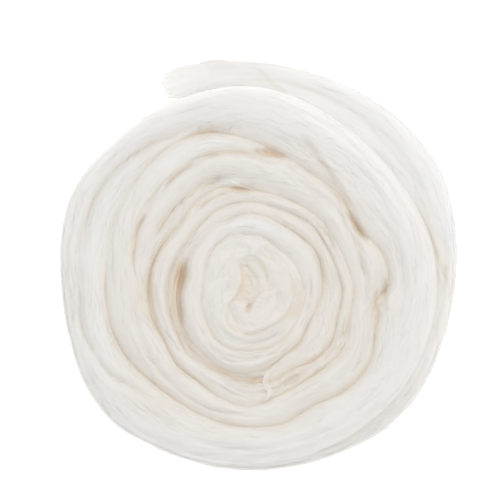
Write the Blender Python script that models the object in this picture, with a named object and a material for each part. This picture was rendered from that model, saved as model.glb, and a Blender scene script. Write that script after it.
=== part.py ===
"""Wool roving: one thick combed strand wound flat into a coil, with a thin loose end.

Metres, +Z up. The coil lies on z = 0, centred on the origin. Directions are in degrees, counter-clockwise
from +X as seen from above, and radii are measured from the winding centre. The tables are in millimetres.
"""

import bisect
import math

import bmesh
import bpy

MM = 0.001

# The heart of the winding lies a little off the middle of the coil's outline.
WINDING_CENTRE = (-5.5 * MM, -14.0 * MM)

# Where one turn meets the next, from the outside in. "last" is the outer edge of the outermost turn, which
# lies beside the wound body from LAST_TURN_END round to LAST_TURN_UNDER, and "rim" is the body's own edge.
EDGES = ("last", "rim", "second", "third", "fourth", "fifth", "sixth", "roll", "inner", "heart")
EDGE_RADII = {
    # direction: one radius for each edge
    0: (108.0, 99.0, 86.5, 73.0, 62.5, 54.5, 50.0, 38.5, 29.5, 23.0),
    15: (113.0, 99.5, 87.0, 73.0, 61.0, 53.0, 48.0, 40.0, 28.5, 22.5),
    30: (118.5, 98.5, 85.0, 66.5, 60.0, 52.5, 47.5, 41.5, 28.0, 21.5),
    45: (120.5, 98.5, 85.0, 69.0, 63.0, 53.0, 48.5, 40.0, 27.5, 20.0),
    60: (120.0, 100.0, 86.0, 69.5, 63.0, 52.5, 47.0, 39.5, 27.5, 19.5),
    75: (119.5, 104.0, 88.0, 73.0, 64.0, 52.5, 46.0, 40.5, 29.5, 19.0),
    90: (120.5, 107.5, 93.5, 79.5, 71.0, 54.0, 46.0, 41.5, 30.0, 19.5),
    105: (122.5, 107.0, 89.5, 86.0, 73.5, 56.5, 45.0, 39.0, 30.5, 19.5),
    120: (106.0, 106.0, 91.5, 86.0, 71.0, 54.5, 42.5, 38.5, 29.5, 18.5),
    135: (105.0, 105.0, 93.5, 83.0, 69.0, 50.5, 40.5, 36.5, 27.5, 17.5),
    150: (105.5, 105.5, 93.0, 80.5, 65.5, 50.5, 40.5, 36.0, 25.5, 16.5),
    165: (101.5, 101.5, 90.0, 76.0, 61.0, 52.0, 41.5, 33.5, 24.0, 15.5),
    180: (97.5, 97.5, 87.5, 74.5, 56.0, 52.0, 42.0, 35.0, 24.0, 15.5),
    195: (96.5, 96.5, 90.0, 73.5, 58.0, 51.5, 42.5, 35.5, 25.0, 16.0),
    210: (98.0, 98.0, 89.0, 71.0, 60.0, 50.0, 43.5, 38.0, 26.0, 17.0),
    225: (98.0, 98.0, 84.0, 68.0, 60.0, 52.5, 45.0, 39.0, 27.5, 19.0),
    240: (94.5, 94.0, 82.0, 68.0, 60.5, 53.0, 44.5, 40.0, 30.0, 20.5),
    255: (93.5, 91.5, 81.0, 69.0, 63.0, 57.0, 45.0, 41.5, 31.0, 22.0),
    270: (93.5, 90.0, 80.5, 70.0, 65.0, 60.0, 47.5, 42.0, 30.5, 21.5),
    285: (94.5, 90.5, 81.0, 71.0, 63.0, 56.5, 49.0, 40.0, 31.0, 21.0),
    300: (97.0, 92.0, 81.0, 68.5, 61.5, 55.0, 46.5, 37.5, 31.0, 20.5),
    315: (101.0, 94.0, 84.0, 72.5, 64.0, 55.5, 50.0, 37.0, 30.0, 21.5),
    330: (104.0, 96.0, 85.0, 73.5, 65.5, 57.0, 51.5, 35.0, 29.0, 22.0),
    345: (105.0, 98.0, 85.0, 69.0, 61.0, 54.5, 49.0, 36.0, 29.0, 22.5),
}
TABLE_STEP = 15
FULL_TURN = 360

# Height of the crest between each edge and the next one in, from the rim to the heart.
CREST_HEIGHTS = {
    "rim": 33.0,
    "second": 33.5,
    "third": 31.5,
    "fourth": 30.0,
    "fifth": 28.5,
    "sixth": 28.0,
    "roll": 31.0,
    "inner": 31.0,
}
HEART_HEIGHT = 29.0
SWELL = 1.5  # the coil stands this much higher on the side where its outer turn is fullest
SWELL_DIRECTION = 40

# How far each groove, and each hollow in a turn's own crest, drops below the turns beside it.
GROOVES = (
    # edge, depth, from direction, to direction
    ("second", 8.0, 110, 208),
    ("third", 9.0, 0, 360),
    ("third", 6.0, 62, 106),
    ("fourth", 6.0, 80, 178),
    ("fourth", 2.5, 340, 80),
    ("fifth", 7.0, 0, 360),
    ("fifth", 5.0, 84, 110),
    ("sixth", 6.0, 0, 360),
    ("roll", 8.0, 0, 360),
    ("roll", 5.0, 145, 190),
    ("inner", 4.0, 0, 360),
    ("heart", 5.0, 235, 45),
)
HOLLOWS = (
    # edge outside the turn, depth, from direction, to direction
    ("third", 5.0, 62, 90),
    ("sixth", 8.0, 140, 190),
    ("sixth", 3.0, 250, 290),
)
FADE = 14  # degrees over which a groove or hollow starts and ends
FULL_GROOVE = 4.0  # a groove this deep parts two turns; a shallower one draws their crests together
CREST_POWER = 2.4  # squareness of a turn's cross-section
ACROSS_TURN = (0.12, 0.36, 0.64, 0.88)  # places across a turn that hold a row of points
LEAST_PARTING = 0.01  # keeps the crest in the middle between two edges that are both gentle

# The outermost turn: its height falls towards the loose end, and its tail slips under the body.
LAST_TURN_END = 98.9
BODY_AFTER_END = 99.5
LAST_TURN_HEIGHTS = {-145: 18.0, -90: 21.0, -30: 23.5, 15: 22.0, 45: 17.5, 75: 10.5, 99: 3.7}
LAST_TURN_FULL = -115
LAST_TURN_UNDER = -142
LAST_TURN_VALLEY = -60  # where its cross-section starts, in degrees from the top
LAST_TURN_WAIST = 0.42  # height of its widest place, as a share of its own height
BODY_SIDE_WIDTH = 10.0
BODY_SIDE_START = 55
BODY_WAIST = 0.45
SIDE_STEPS = 8

# The line along which the folded inner end lies in the heart of the roll: direction and radius.
FOLD_LINE = ((108, 20.0), (98, 11.0), (112, 6.0), (180, 3.7), (203, 7.8), (214, 12.0), (230, 18.0))
FOLD_DEPTH = 5.0
FOLD_WIDTH = 2.4
EYE_DIRECTION = 272  # the small open eye beside the fold
EYE_RADIUS = 9.0
EYE_DEPTH = 6.0
EYE_WIDTH = 2.6
HEART_ROWS = 8
HEART_FALL = 0.3  # share of the heart's radius over which it falls or rises to its edge

DIRECTION_STEP = 5
CUT_MARGIN = 1.0  # no regular section this close after the last turn's end

# The loose end: sections from its root to its tip.
LOOSE_END_SECTIONS = (
    # direction, inner radius, outer radius, thickness
    (99.9, 106.6, 121.5, 3.3),
    (102.5, 106.6, 123.0, 2.9),
    (105.5, 106.8, 124.0, 2.4),
    (108.5, 107.2, 124.0, 1.9),
    (111.0, 108.6, 123.2, 1.4),
    (112.6, 111.2, 121.6, 1.0),
)
LOOSE_END_ACROSS = 5
LOOSE_END_EDGE = 0.45  # thickness at its long edges, as a share of that in the middle

WOOL_COLOUR = (0.82, 0.79, 0.74, 1.0)
WOOL_ROUGHNESS = 0.95


def start_empty():
    for thing in list(bpy.data.objects):
        bpy.data.objects.remove(thing, do_unlink=True)


def wool(name):
    material = bpy.data.materials.new(name)
    material.use_nodes = True
    shader = material.node_tree.nodes["Principled BSDF"]
    shader.inputs["Base Color"].default_value = WOOL_COLOUR
    shader.inputs["Roughness"].default_value = WOOL_ROUGHNESS
    shader.inputs["Metallic"].default_value = 0.0
    material.diffuse_color = WOOL_COLOUR
    return material


def soft_step(x):
    x = min(max(x, 0.0), 1.0)
    return x * x * (3 - 2 * x)


def edge_radius(edge, direction):
    """Radius of an edge at any direction, on a smooth closed curve through the table's rows."""
    column = EDGES.index(edge)
    place = (direction % FULL_TURN) / TABLE_STEP
    row = math.floor(place)
    t = place - row
    a, b, c, d = (EDGE_RADII[(row + k) % len(EDGE_RADII) * TABLE_STEP][column] for k in (-1, 0, 1, 2))
    bend = 2 * a - 5 * b + 4 * c - d
    turn = 3 * b - a - 3 * c + d
    return 0.5 * (2 * b + (c - a) * t + bend * t**2 + turn * t**3)


def presence(direction, start, end):
    """1 inside an arc, fading to 0 past its ends."""
    if end - start == FULL_TURN:
        return 1.0
    half = ((end - start) % FULL_TURN) / 2
    middle = start + half
    away = abs((direction - middle + FULL_TURN / 2) % FULL_TURN - FULL_TURN / 2)
    return 1 - soft_step((away - half) / FADE)


def dip(table, edge, direction):
    return sum(
        depth * presence(direction, start, end)
        for name, depth, start, end in table
        if name == edge
    )


def swell(direction):
    return SWELL * math.cos(math.radians(direction - SWELL_DIRECTION))


def crest_height(edge, direction):
    return CREST_HEIGHTS[edge] + swell(direction) - dip(HOLLOWS, edge, direction)


def between(table, x):
    """Straight-line reading of a small table {x: value}."""
    places = sorted(table)
    x = min(max(x, places[0]), places[-1])
    k = max(1, bisect.bisect_left(places, x))
    low, high = places[k - 1], places[k]
    share = (x - low) / (high - low)
    return table[low] + share * (table[high] - table[low])


def outer_side(direction):
    """(radius, height) points of the outer side, from its highest groove down to the floor.

    Where the last turn lies beside the body they go over that turn, and elsewhere down the body's own side.
    """
    signed = direction if direction < BODY_AFTER_END else direction - FULL_TURN
    tail = (signed - LAST_TURN_UNDER) / (LAST_TURN_FULL - LAST_TURN_UNDER)
    share = soft_step(tail) if signed <= LAST_TURN_END else 0.0
    rim, last = edge_radius("rim", direction), edge_radius("last", direction)
    body_height = crest_height("rim", direction)
    turn_height = between(LAST_TURN_HEIGHTS, signed)

    def blend(body, turn):
        return body + share * (turn - body)

    width = blend(BODY_SIDE_WIDTH, (last - rim) / 2)
    middle = blend(rim - BODY_SIDE_WIDTH, (last + rim) / 2)
    waist = blend(BODY_WAIST * body_height, LAST_TURN_WAIST * turn_height)
    top = blend(body_height, turn_height)
    start = blend(BODY_SIDE_START, LAST_TURN_VALLEY)
    floor = math.degrees(math.acos(-waist / (top - waist)))
    points = []
    for k in range(SIDE_STEPS + 1):
        angle = math.radians(start + (floor - start) * k / SIDE_STEPS)
        points.append((middle + width * math.sin(angle), waist + (top - waist) * math.cos(angle)))
    return points


def parting(edge, direction):
    """1 where an edge is a groove between two turns, 0 where one turn runs on across it."""
    return min(1.0, dip(GROOVES, edge, direction) / FULL_GROOVE)


def turn_profile(outer, inner, crest, crest_place):
    """Points across a turn between two edges, each (radius, height), without the edges themselves.

    The crest lies at crest_place, 0 at the outer edge and 1 at the inner one.
    """
    points = []
    for share in ACROSS_TURN:
        if share < crest_place:
            edge, away = outer, (crest_place - share) / crest_place
        else:
            edge, away = inner, (share - crest_place) / (1 - crest_place)
        radius = outer[0] + share * (inner[0] - outer[0])
        points.append((radius, crest - (crest - edge[1]) * away**CREST_POWER))
    return points


def fold_points():
    return [
        (r * math.cos(math.radians(d)), r * math.sin(math.radians(d))) for d, r in FOLD_LINE
    ]


def distance_to_line(x, y, line):
    nearest = math.inf
    for (ax, ay), (bx, by) in zip(line, line[1:]):
        dx, dy = bx - ax, by - ay
        t = min(max(((x - ax) * dx + (y - ay) * dy) / (dx * dx + dy * dy), 0.0), 1.0)
        nearest = min(nearest, math.hypot(x - ax - t * dx, y - ay - t * dy))
    return nearest


def heart_height(radius, direction, edge):
    """Height inside the innermost edge, with the fold line and the eye pressed in."""
    x = radius * math.cos(math.radians(direction))
    y = radius * math.sin(math.radians(direction))
    share = soft_step((edge[0] - radius) / (HEART_FALL * edge[0]))
    height = edge[1] + share * (HEART_HEIGHT - edge[1])
    fold = math.exp(-((distance_to_line(x, y, fold_points()) / FOLD_WIDTH) ** 2))
    eye_x = EYE_RADIUS * math.cos(math.radians(EYE_DIRECTION))
    eye_y = EYE_RADIUS * math.sin(math.radians(EYE_DIRECTION))
    eye = math.exp(-((math.hypot(x - eye_x, y - eye_y) / EYE_WIDTH) ** 2))
    return height - max(FOLD_DEPTH * fold, EYE_DEPTH * eye)


def section(direction):
    """(radius, height) points of the coil's section, from the heart's first ring out and down to the floor."""
    points = outer_side(direction)[::-1]
    outer_parting = 1.0
    for outer, edge in zip(EDGES[1:], EDGES[2:]):
        crest = crest_height(outer, direction)
        beside = crest_height(edge, direction) if edge in CREST_HEIGHTS else crest
        height = (crest + beside) / 2 - dip(GROOVES, edge, direction)
        inner = (edge_radius(edge, direction), height)
        inner_parting = parting(edge, direction)
        partings = outer_parting + inner_parting + 2 * LEAST_PARTING
        crest_place = (outer_parting + LEAST_PARTING) / partings
        points += turn_profile(points[-1], inner, crest, crest_place) + [inner]
        outer_parting = inner_parting
    heart = points[-1]
    for k in range(1, HEART_ROWS):
        radius = heart[0] * (1 - k / HEART_ROWS)
        points.append((radius, heart_height(radius, direction, heart)))
    return points[::-1]


def place(radius, direction, height):
    angle = math.radians(direction)
    return (
        WINDING_CENTRE[0] + radius * MM * math.cos(angle),
        WINDING_CENTRE[1] + radius * MM * math.sin(angle),
        height * MM,
    )


def finished_object(name, shape):
    bmesh.ops.recalc_face_normals(shape, faces=shape.faces)
    mesh = bpy.data.meshes.new(name)
    shape.to_mesh(mesh)
    shape.free()
    mesh.shade_smooth()
    mesh.materials.append(wool(name + "_wool"))
    thing = bpy.data.objects.new(name, mesh)
    bpy.context.scene.collection.objects.link(thing)
    return thing


def bridge(shape, rings, closed):
    """Joins neighbouring rings of points with quads, round the whole way if closed."""
    for inner, outer in zip(rings, rings[1:]):
        count = len(inner)
        for k in range(count if closed else count - 1):
            following = (k + 1) % count
            shape.faces.new((inner[k], outer[k], outer[following], inner[following]))


def build_coil():
    cut = (LAST_TURN_END, BODY_AFTER_END)
    regular = (d for d in range(0, FULL_TURN, DIRECTION_STEP) if not cut[0] < d < cut[1] + CUT_MARGIN)
    directions = sorted([*regular, *cut])
    sections = [section(direction) for direction in directions]
    shape = bmesh.new()
    rings = [
        [shape.verts.new(place(s[k][0], d, s[k][1])) for s, d in zip(sections, directions)]
        for k in range(len(sections[0]))
    ]
    bridge(shape, rings, closed=True)
    heart_edge = (edge_radius(EDGES[-1], 0), HEART_HEIGHT)
    top = shape.verts.new(place(0, 0, heart_height(0, 0, heart_edge)))
    base = shape.verts.new(place(0, 0, 0))
    for hub, ring in ((top, rings[0]), (base, rings[-1])):
        for k in range(len(ring)):
            shape.faces.new((hub, ring[k], ring[(k + 1) % len(ring)]))
    return finished_object("coil", shape)


def build_loose_end():
    """A flat tongue that lies on the floor, thickest at its root, thinning to its tip and long edges."""
    shape = bmesh.new()
    layers = []
    for level in (0, 1):
        rows = []
        for direction, inner, outer, thickness in LOOSE_END_SECTIONS:
            row = []
            for k in range(LOOSE_END_ACROSS):
                share = k / (LOOSE_END_ACROSS - 1)
                crown = 1 - (1 - LOOSE_END_EDGE) * (2 * share - 1) ** 2
                radius = inner + share * (outer - inner)
                row.append(shape.verts.new(place(radius, direction, level * thickness * crown)))
            rows.append(row)
        layers.append(rows)
        bridge(shape, rows, closed=False)
    bottom, top = layers
    for low, high in zip(boundary(bottom), boundary(top)):
        shape.faces.new((*low, *reversed(high)))
    return finished_object("loose_end", shape)


def boundary(rows):
    """Pairs of neighbouring points round the edge of a grid."""
    left = [row[0] for row in rows]
    right = [row[-1] for row in rows]
    loop = rows[0] + right[1:] + rows[-1][-2::-1] + left[-2:0:-1]
    return list(zip(loop, loop[1:] + loop[:1]))


def main():
    start_empty()
    build_coil()
    build_loose_end()


main()
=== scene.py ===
"""Wool roving: one thick combed strand wound flat into a coil, with a thin loose end.

Metres, +Z up. Directions are in degrees, counter-clockwise from +X as seen from above, and radii are measured
from the winding centre. The tables are in millimetres, and MM turns them into metres.
"""

import math

import bpy
import numpy as np
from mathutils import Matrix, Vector
from mathutils.bvhtree import BVHTree


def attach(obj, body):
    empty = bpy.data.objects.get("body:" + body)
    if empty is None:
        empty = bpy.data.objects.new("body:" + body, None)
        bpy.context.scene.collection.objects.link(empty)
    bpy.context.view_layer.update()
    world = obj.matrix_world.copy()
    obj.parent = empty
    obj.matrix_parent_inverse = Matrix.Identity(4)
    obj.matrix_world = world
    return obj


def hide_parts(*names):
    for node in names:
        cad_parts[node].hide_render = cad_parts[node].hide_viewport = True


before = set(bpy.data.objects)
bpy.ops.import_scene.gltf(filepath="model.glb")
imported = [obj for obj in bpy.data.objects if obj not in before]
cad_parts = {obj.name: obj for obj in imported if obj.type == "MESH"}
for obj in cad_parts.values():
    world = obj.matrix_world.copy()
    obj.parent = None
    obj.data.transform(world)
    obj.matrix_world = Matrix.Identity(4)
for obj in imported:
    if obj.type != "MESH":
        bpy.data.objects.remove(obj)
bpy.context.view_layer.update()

MM = 0.001
WINDING_CENTRE = (-5.5, -14.0)
FULL_TURN = 360

# Where one turn meets the next, from the outside in.
EDGES = ("last", "rim", "second", "third", "fourth", "fifth", "sixth", "roll", "inner")
EDGE_RADII = {
    # direction: one radius for each edge
    0: (108.0, 99.0, 86.5, 73.0, 62.5, 54.5, 50.0, 38.5, 29.5),
    15: (113.0, 99.5, 87.0, 73.0, 61.0, 53.0, 48.0, 40.0, 28.5),
    30: (118.5, 98.5, 85.0, 66.5, 60.0, 52.5, 47.5, 41.5, 28.0),
    45: (120.5, 98.5, 85.0, 69.0, 63.0, 53.0, 48.5, 40.0, 27.5),
    60: (120.0, 100.0, 86.0, 69.5, 63.0, 52.5, 47.0, 39.5, 27.5),
    75: (119.5, 104.0, 88.0, 73.0, 64.0, 52.5, 46.0, 40.5, 29.5),
    90: (120.5, 107.5, 93.5, 79.5, 71.0, 54.0, 46.0, 41.5, 30.0),
    105: (122.5, 107.0, 89.5, 86.0, 73.5, 56.5, 45.0, 39.0, 30.5),
    120: (106.0, 106.0, 91.5, 86.0, 71.0, 54.5, 42.5, 38.5, 29.5),
    135: (105.0, 105.0, 93.5, 83.0, 69.0, 50.5, 40.5, 36.5, 27.5),
    150: (105.5, 105.5, 93.0, 80.5, 65.5, 50.5, 40.5, 36.0, 25.5),
    165: (101.5, 101.5, 90.0, 76.0, 61.0, 52.0, 41.5, 33.5, 24.0),
    180: (97.5, 97.5, 87.5, 74.5, 56.0, 52.0, 42.0, 35.0, 24.0),
    195: (96.5, 96.5, 90.0, 73.5, 58.0, 51.5, 42.5, 35.5, 25.0),
    210: (98.0, 98.0, 89.0, 71.0, 60.0, 50.0, 43.5, 38.0, 26.0),
    225: (98.0, 98.0, 84.0, 68.0, 60.0, 52.5, 45.0, 39.0, 27.5),
    240: (94.5, 94.0, 82.0, 68.0, 60.5, 53.0, 44.5, 40.0, 30.0),
    255: (93.5, 91.5, 81.0, 69.0, 63.0, 57.0, 45.0, 41.5, 31.0),
    270: (93.5, 90.0, 80.5, 70.0, 65.0, 60.0, 47.5, 42.0, 30.5),
    285: (94.5, 90.5, 81.0, 71.0, 63.0, 56.5, 49.0, 40.0, 31.0),
    300: (97.0, 92.0, 81.0, 68.5, 61.5, 55.0, 46.5, 37.5, 31.0),
    315: (101.0, 94.0, 84.0, 72.5, 64.0, 55.5, 50.0, 37.0, 30.0),
    330: (104.0, 96.0, 85.0, 73.5, 65.5, 57.0, 51.5, 35.0, 29.0),
    345: (105.0, 98.0, 85.0, 69.0, 61.0, 54.5, 49.0, 36.0, 29.0),
}
TABLE_STEP = 15

# Kinks in an edge between the table's rows: direction, reach in degrees, and change of radius.
KINKS = {"third": ((356, 5.0, -5.0),)}

# Height of each turn's crest, by direction. The coil stands a little higher where its outer turn is fullest.
CRESTS = {
    "wide_turn": {0: 34.0, 60: 34.5, 120: 33.0, 180: 31.0, 225: 31.5, 300: 33.0},
    "middle_turn": {0: 30.8, 60: 32.0, 120: 32.5, 180: 31.0, 240: 29.0, 300: 30.0},
    "inner_turn": {0: 29.5, 60: 29.5, 120: 27.0, 180: 28.5, 240: 28.0, 300: 28.5},
    "low_turn": {0: 27.0, 60: 27.0, 120: 26.5, 165: 23.0, 200: 23.5, 240: 25.0, 270: 23.0, 300: 27.5},
    "roll_turn": {0: 30.0, 60: 31.5, 120: 31.5, 180: 31.0, 240: 30.5, 300: 30.0},
    "heart_fold": {0: 30.0, 60: 31.0, 120: 31.5, 180: 31.5, 240: 30.5, 300: 29.5},
}

# How two turns meet: how far the crease lies below their crests, which of the two overlaps the other
# (1 the outer turn, -1 the inner one), and how far apart they stand.
CREASES = {
    "rim": {0: (11, 1.0, 0.0), 180: (11, 1.0, 0.0)},
    "third": {
        0: (4.8, 0.8, 0.0), 45: (5.5, 0.4, 0.0), 75: (6, -0.2, 0.2), 105: (5.5, -0.8, 0.2),
        135: (4, -0.9, 0.0), 180: (4.5, -0.4, 0.0), 225: (5.5, 0.5, 0.0), 270: (4.5, 0.8, 0.0),
        315: (5.5, 0.8, 0.0),
    },
    "fifth": {
        0: (3, 0.0, 0.0), 45: (3, 0.2, 0.0), 90: (4.5, -0.3, 0.0), 135: (5.5, -0.5, 0.0),
        185: (7, 0.0, 0.0), 225: (3.5, 0.6, 0.0), 270: (2.2, 0.8, 0.0), 315: (3, 0.0, 0.0),
    },
    "sixth": {
        0: (4.5, 0.7, 0.0), 60: (5, 0.7, 0.0), 120: (4, 0.7, 0.0), 180: (4.5, 0.8, 0.0), 240: (4, 0.7, 0.0),
        285: (5.5, 0.3, 0.0), 330: (5, 0.5, 0.0),
    },
    "roll": {
        0: (4, -0.6, 0.0), 90: (3.2, -0.8, 0.0), 130: (3.5, -0.8, 0.0), 165: (6, -0.8, 0.2),
        195: (6.5, -0.6, 0.0), 240: (5.5, -0.5, 0.0), 300: (4.5, -0.4, 0.0),
    },
    "inner": {
        0: (1.6, -0.2, 0.0), 90: (3, -0.6, 0.0), 150: (2.6, -0.6, 0.0), 210: (2.2, 0.0, 0.0),
        270: (2.6, 0.2, 0.0),
    },
}

# The closed turns from the outside in: outer edge, inner edge, steps round, points in a section.
TURNS = {
    "wide_turn": ("rim", "third", 760, 76),
    "middle_turn": ("third", "fifth", 640, 68),
    "inner_turn": ("fifth", "sixth", 500, 48),
    "low_turn": ("sixth", "roll", 460, 44),
    "roll_turn": ("roll", "inner", 430, 48),
}

# Lines along which a turn is drawn together: depth, half width, and the path as direction and radius.
LINES = {
    "wide_turn": (
        (4.2, 6.5, ((96, 87.0), (105, 89.0), (120, 91.5), (135, 93.5), (150, 93.0), (165, 90.0),
                    (180, 87.5))),
        (4.4, 6.0, ((165, 90.0), (180, 87.5), (192, 88.5), (201, 86.5), (208, 84.5))),
        (3.0, 5.0, ((196, 88.0), (210, 84.0), (220, 78.0), (230, 73.5))),
        (1.6, 4.0, ((240, 84.0), (265, 82.0), (300, 83.0), (330, 88.0))),
        (1.2, 4.0, ((0, 90.0), (25, 92.0), (50, 93.0), (72, 97.0), (90, 99.0))),
        (1.6, 3.5, ((340, 79.0), (0, 81.0), (20, 80.0), (40, 78.0))),
    ),
    "middle_turn": (
        (3.6, 5.0, ((74, 65.0), (90, 71.0), (105, 73.5), (120, 71.0), (135, 69.0), (150, 65.5),
                    (165, 61.5), (180, 57.0))),
        (2.2, 3.5, ((342, 64.0), (0, 61.5), (20, 61.0), (45, 63.0), (62, 63.0), (80, 66.0))),
        (3.5, 3.5, ((96, 58.0), (103, 60.5), (112, 60.3), (125, 58.5), (140, 57.5), (156, 56.0))),
        (1.5, 3.0, ((195, 62.0), (225, 62.5), (250, 64.0), (280, 66.0))),
        (1.4, 2.5, ((300, 64.0), (330, 68.0), (350, 66.0), (8, 67.5), (22, 66.0))),
    ),
    "inner_turn": (
        (2.0, 2.4, ((86, 52.0), (94, 53.0), (104, 52.5), (116, 51.0), (126, 49.0))),
        (1.6, 2.6, ((150, 46.5), (180, 47.5), (210, 47.0), (235, 49.5))),
        (2.2, 3.0, ((250, 50.5), (270, 53.5), (290, 52.0), (305, 50.5))),
    ),
    "low_turn": ((1.8, 2.4, ((200, 39.5), (225, 42.0), (250, 43.5), (275, 45.0), (300, 42.5))),),
    "roll_turn": (
        (1.3, 1.7, ((228, 33.5), (250, 34.6), (270, 34.3), (290, 34.3), (305, 34.0))),
        (1.2, 1.6, ((240, 37.5), (255, 37.8), (270, 36.9), (290, 36.5))),
        (1.5, 2.0, ((20, 33.0), (0, 32.5), (-20, 32.0), (-45, 33.5))),
    ),
}

# Edges of layers that lie over their neighbours, the upper layer on the left of the path: rise, reach, path.
LIPS = {
    "wide_turn": (
        (0.7, 3.5, ((100, 88.5), (110, 90.5), (125, 92.0), (140, 93.8), (155, 92.0), (170, 89.0),
                    (184, 87.8))),
        (1.6, 3.4, ((72.4, 89.5), (64.7, 81.6), (56.1, 76.4), (45.6, 72.1), (34.5, 70.7))),
        (0.5, 4.0, ((60, 92.0), (40, 87.0), (20, 84.0), (0, 84.5), (340, 83.0), (325, 80.0))),
        (0.5, 3.5, ((300, 78.0), (280, 76.0), (262, 76.5), (245, 76.0))),
    ),
    "middle_turn": (
        (1.3, 4.0, ((78, 66.5), (90, 71.0), (105, 73.5), (120, 71.0), (135, 69.0), (150, 65.5),
                    (165, 61.5), (176, 58.0))),
        (0.9, 2.6, ((354, 67.0), (0, 64.8), (4, 62.3), (10, 61.2), (16, 60.8), (22, 62.6), (28, 65.0))),
        (0.8, 2.4, ((98, 58.3), (104, 60.8), (112, 60.6), (124, 58.8), (138, 57.3), (152, 56.0))),
        (0.5, 2.5, ((250, 63.0), (230, 62.0), (210, 63.0), (195, 63.0))),
    ),
    "inner_turn": ((0.7, 2.0, ((88, 53.2), (95, 54.2), (104, 53.2), (114, 51.5), (124, 49.0))),),
    "last_turn": (
        (0.6, 4.5, ((30, 98.5), (21.6, 99.0), (12.5, 100.7), (3.4, 104.2), (357.8, 107.0))),
        (0.5, 3.0, ((89.5, 119.5), (86.4, 115.7), (82.6, 109.5), (78, 106))),
        (0.5, 4.0, ((100, 112.0), (80, 112.0), (60, 110.0), (40, 109.0), (20, 107.0))),
    ),
}

# Open hollows between the turns: direction, radius, reach along and across the turn, depth.
HOLLOWS = (
    (68, 80.5, 24.0, 5.0, 1.8),
    (169, 35.8, 7.0, 2.4, 6.5),
    (190, 37.0, 9.0, 2.2, 2.5),
    (104, 86.5, 12.0, 2.0, 2.0),
    (82, 73.2, 8.0, 2.4, 4.5),
    (106, 60.5, 8.0, 2.0, 1.6),
    (94, 54.5, 6.0, 1.6, 2.2),
    (271, 46.5, 8.0, 1.4, 1.2),
    (30, 66.5, 8.0, 1.8, 3.5),
    (36, 50.5, 10.0, 1.6, 2.5),
    (0, 71.0, 8.0, 1.6, 2.5),
    (330, 54.0, 12.0, 1.8, 2.0),
    (300, 51.0, 12.0, 2.0, 2.0),
    (188, 50.5, 14.0, 1.5, 2.0),
)
SWELLINGS = ((8, 66.0, 14.0, 5.0, 2.2), (150, 72.0, 30.0, 5.0, 1.0))

LIP_SOFTNESS = 0.8
CREST_SHAPE = 2.35  # exponents of the superellipses: 2 is round, more is boxier
BASE_SHAPE = 3.2
FLOOR_GAP = 0.35
TUCK = 4.5  # how much further the lower of two turns reaches under the upper one
LEAST_TUCK = 1.5
LEAN = 0.16
LEAST_DROP = 1.0  # from a crest to the crease beside it
LEAST_SIDE = 5.0  # height of a turn's widest place
LAST_SIDE_LEVELS = (0.45, 0.50)  # height of the outer and the inner side, as shares of the last turn's height
WIDE_CREST = 0.42  # share of the wide turn's width from its outer side to its crest
WIDE_SIDE_LEVEL = 0.46
WIDE_SWELL = 0.3
PRESSED_FROM = 0.35  # share of the crest's height above which a turn's top is pressed and lifted
PRESSED_OVER = 0.30
RELIEF_FROM = 1.0  # height from which the relief grows, and over which
RELIEF_OVER = 3.0

# The outermost turn, from the loose end clockwise to where its tail slips under the wound body.
LAST_TURN_HEIGHTS = {
    -165: 14.0, -145: 18.0, -90: 21.0, -30: 23.5, 15: 22.0, 45: 17.5, 75: 10.5, 90: 6.4, 99: 3.6, 104: 1.8,
    108: 0.6,
}
LAST_TURN_START = 107.0
LAST_TURN_END = -158.0
LAST_TURN_STEPS = 520
LAST_TURN_POINTS = 64
LAST_TURN_SMOOTHING = 20  # steps to either side
LAST_TURN_TAIL = 9.0  # how far its tail slips inward
LAST_TURN_TAIL_FROM = -118
LAST_TURN_TAIL_OVER = 35
LAST_TURN_TIP = 122.6  # radius of its outer edge beside the loose end
LAST_TURN_TIP_FROM = 104
LAST_TURN_UNDER = ((-165, -100, -40, 40, 80, 100, 108), (20, 16, 8, 6, 3, 1.5, 0.5))  # reach under the rim
LAST_TURN_ENDS = (0.03, 0.06)  # shares of its length over which the ends are rounded
LAST_TURN_CREST = 0.52  # share of the way from its inner to its outer side
LAST_TURN_THIN = 0.6  # height of its thin end
LAST_TURN_LIGHT = (
    # directions and values: depth of the light at its edge, its strength, and the light through the thin part
    ((-50, -15, 10, 45, 80), (1.6, 4.0, 5.0, 3.5, 2.0)),
    ((-150, -50, -15, 20, 70, 107), (0.12, 0.10, 0.085, 0.06, 0.06, 0.06)),
    ((30, 60, 90, 103, 107), (0.0, 0.05, 0.07, 0.03, 0.03)),
)

# Lobes along the strand: height, length and width of each, coarse to fine, and how far each is drawn
# together into locks, with narrow valleys between rounded tops.
LOBES = ((0.60, 85.0, 7.5, 0.0), (0.14, 60.0, 4.2, 0.5), (0.05, 34.0, 2.2, 0.7), (0.03, 18.0, 1.1, 0.7))
LATTICE_ROWS = 64
LATTICE_START = 500  # keeps the rows of the lattice above 0
LOCK_GAIN = 2.2
LOCK_ROUNDING = 0.004
LOCK_LEVEL = 0.8
DRIFTS = ((2, 5.0), (3, 3.0))  # waves round one turn, and how far the fibres drift across the strand
HEART_LOBES = ((0.25, 40.0, 4.0, 0.3), (0.14, 26.0, 2.0, 0.7), (0.04, 16.0, 1.0, 0.8))

rng = np.random.default_rng(11)


RADII = np.array([EDGE_RADII[row] for row in sorted(EDGE_RADII)])


def edge_radius(edge, direction):
    """Radius of an edge at each direction, on a smooth closed curve through the table's rows."""
    column = RADII[:, EDGES.index(edge)]
    rows = np.arange(-2, len(column) + 3)
    radius = smooth_through(rows * TABLE_STEP, column[rows % len(column)], np.mod(direction, FULL_TURN))
    for kink, reach, change in KINKS.get(edge, ()):
        radius = radius + change * np.exp(-(((np.mod(direction - kink + 180, FULL_TURN) - 180) / reach) ** 2))
    return radius


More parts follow.
